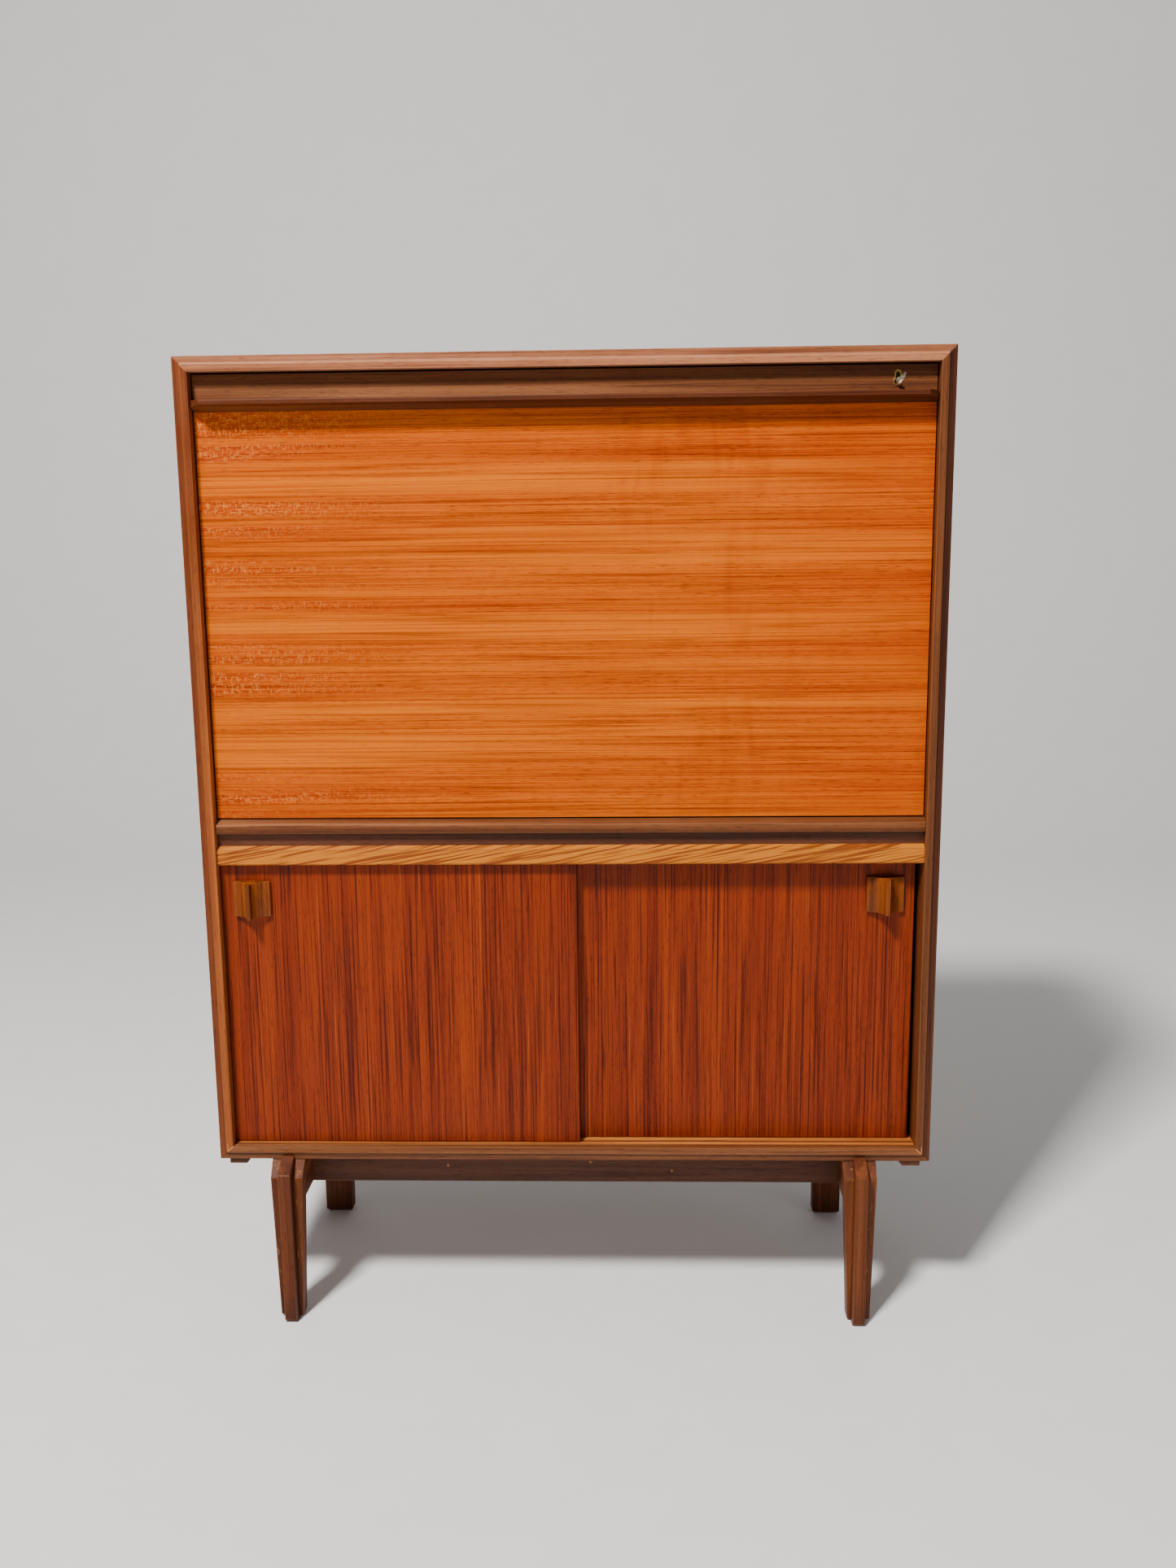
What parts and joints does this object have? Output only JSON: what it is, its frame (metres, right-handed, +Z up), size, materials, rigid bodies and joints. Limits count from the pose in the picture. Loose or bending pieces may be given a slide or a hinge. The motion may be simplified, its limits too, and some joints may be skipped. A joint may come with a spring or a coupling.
{
  "type": "secretary desk",
  "caption": "Upright secretary desk: a fall front over a writing compartment, sliding doors over a cupboard, on laminated legs.",
  "frame": {"origin": "on the floor, under the middle of the desk's overall length, width and depth", "axes": "+Z up, +Y to the back, +X to the right as seen from the front"},
  "size_m": [0.9, 0.4, 1.2],
  "materials": {
    "walnut_veneer": "satin oiled",
    "walnut_solid": "satin oiled",
    "walnut_light": "satin oiled",
    "walnut_dark": "satin oiled",
    "teak_fall": "satin lacquer",
    "teak_doors": "satin lacquer",
    "teak_interior": "satin lacquer",
    "drawer_wood": "bare, waxed",
    "plywood": "bare",
    "brass": "aged",
    "key_steel": "worn nickel plate",
    "steel_screws": "zinc plated"
  },
  "bodies": {
    "case": {"case_side_left": "walnut_veneer", "case_side_right": "walnut_veneer", "case_top": "walnut_veneer", "case_bottom": "walnut_veneer", "back_panel": "plywood", "back_panel_screws": "steel_screws", "desk_floor": "teak_interior", "mid_rail": "walnut_dark", "upper_mid_moulding": "walnut_solid", "lower_mid_moulding": "walnut_light", "door_top_track": "walnut_dark", "lower_shelf": "teak_interior", "front_apron": "walnut_dark", "rear_apron": "walnut_dark", "base_battens": "walnut_dark", "pivot_pins": "brass", "strike_plate": "brass", "stay_posts": "brass", "gallery_sides": "teak_interior", "gallery_shelf": "teak_interior", "gallery_dividers": "teak_interior", "edge_moulding_left": "walnut_solid", "edge_moulding_right": "walnut_solid", "edge_moulding_top": "walnut_solid", "edge_moulding_bottom": "walnut_solid", "side_rail_left": "walnut_solid", "leg_core_front_left": "walnut_solid", "leg_cheeks_front_left": "walnut_solid", "leg_core_rear_left": "walnut_solid", "leg_cheeks_rear_left": "walnut_solid", "side_rail_right": "walnut_solid", "leg_core_front_right": "walnut_solid", "leg_cheeks_front_right": "walnut_solid", "leg_core_rear_right": "walnut_solid", "leg_cheeks_rear_right": "walnut_solid"},
    "fall_front": {"fall_panel": "teak_fall", "fall_top_rail": "walnut_dark", "fall_pull_lip": "walnut_solid", "pivot_bushes": "brass", "lock_case": "brass", "keyhole_liner": "brass", "stay_brackets": "brass"},
    "lock_bolt": {"lock_bolt": "brass"},
    "key": {"key": "key_steel"},
    "stay_arm_left": {"stay_arm_left": "brass"},
    "stay_arm_right": {"stay_arm_right": "brass"},
    "stay_guide_left": {"stay_guide_left": "brass"},
    "stay_guide_right": {"stay_guide_right": "brass"},
    "door_left": {"door_left_panel": "teak_doors", "door_left_pull": "walnut_light"},
    "door_right": {"door_right_panel": "teak_doors", "door_right_pull": "walnut_light"},
    "drawer_left": {"drawer_left_front": "teak_interior", "drawer_left_box": "drawer_wood", "drawer_left_bottom": "plywood", "drawer_left_knob": "brass"},
    "drawer_right": {"drawer_right_front": "teak_interior", "drawer_right_box": "drawer_wood", "drawer_right_bottom": "plywood", "drawer_right_knob": "brass"}
  },
  "joints": [
    {"name": "fall_front_hinge", "type": "hinge", "parent": "case", "child": "fall_front", "pos_m": [0, -0.1525, 0.6632], "axis": [1, 0, 0], "range_deg": [0, 90]},
    {"name": "key_turn", "type": "hinge", "parent": "fall_front", "child": "key", "pos_m": [0.385, -0.175, 1.1615], "axis": [0, -1, 0], "range_deg": [0, 90]},
    {"name": "lock_bolt_slide", "type": "slide", "parent": "fall_front", "child": "lock_bolt", "axis": [0, 0, 1], "range_m": [0, 0.006]},
    {"name": "door_left_slide", "type": "slide", "parent": "case", "child": "door_left", "axis": [1, 0, 0], "range_m": [0, 0.348]},
    {"name": "door_right_slide", "type": "slide", "parent": "case", "child": "door_right", "axis": [1, 0, 0], "range_m": [-0.348, 0.005]},
    {"name": "drawer_left_slide", "type": "slide", "parent": "case", "child": "drawer_left", "axis": [0, -1, 0], "range_m": [0, 0.12]},
    {"name": "drawer_right_slide", "type": "slide", "parent": "case", "child": "drawer_right", "axis": [0, -1, 0], "range_m": [0, 0.12]},
    {"name": "stay_arm_left_pivot", "type": "hinge", "parent": "fall_front", "child": "stay_arm_left", "pos_m": [-0.4183, -0.1335, 0.82207], "axis": [1, 0, 0], "range_deg": [-45, 0]},
    {"name": "stay_guide_left_swivel", "type": "hinge", "parent": "case", "child": "stay_guide_left", "pos_m": [-0.421, -0.09256, 0.81155], "axis": [1, 0, 0], "range_deg": [0, 45]},
    {"name": "stay_arm_right_pivot", "type": "hinge", "parent": "fall_front", "child": "stay_arm_right", "pos_m": [0.4183, -0.1335, 0.82207], "axis": [1, 0, 0], "range_deg": [-45, 0]},
    {"name": "stay_guide_right_swivel", "type": "hinge", "parent": "case", "child": "stay_guide_right", "pos_m": [0.421, -0.09256, 0.81155], "axis": [1, 0, 0], "range_deg": [0, 45]}
  ],
  "couplings": [
    {"joint": "key_turn", "follows": "lock_bolt_slide", "rad_per_m": 261.79},
    {"joint": "stay_arm_left_pivot", "follows": "fall_front_hinge", "ratio": -0.5},
    {"joint": "stay_guide_left_swivel", "follows": "fall_front_hinge", "ratio": 0.5},
    {"joint": "stay_arm_right_pivot", "follows": "fall_front_hinge", "ratio": -0.5},
    {"joint": "stay_guide_right_swivel", "follows": "fall_front_hinge", "ratio": 0.5}
  ]
}
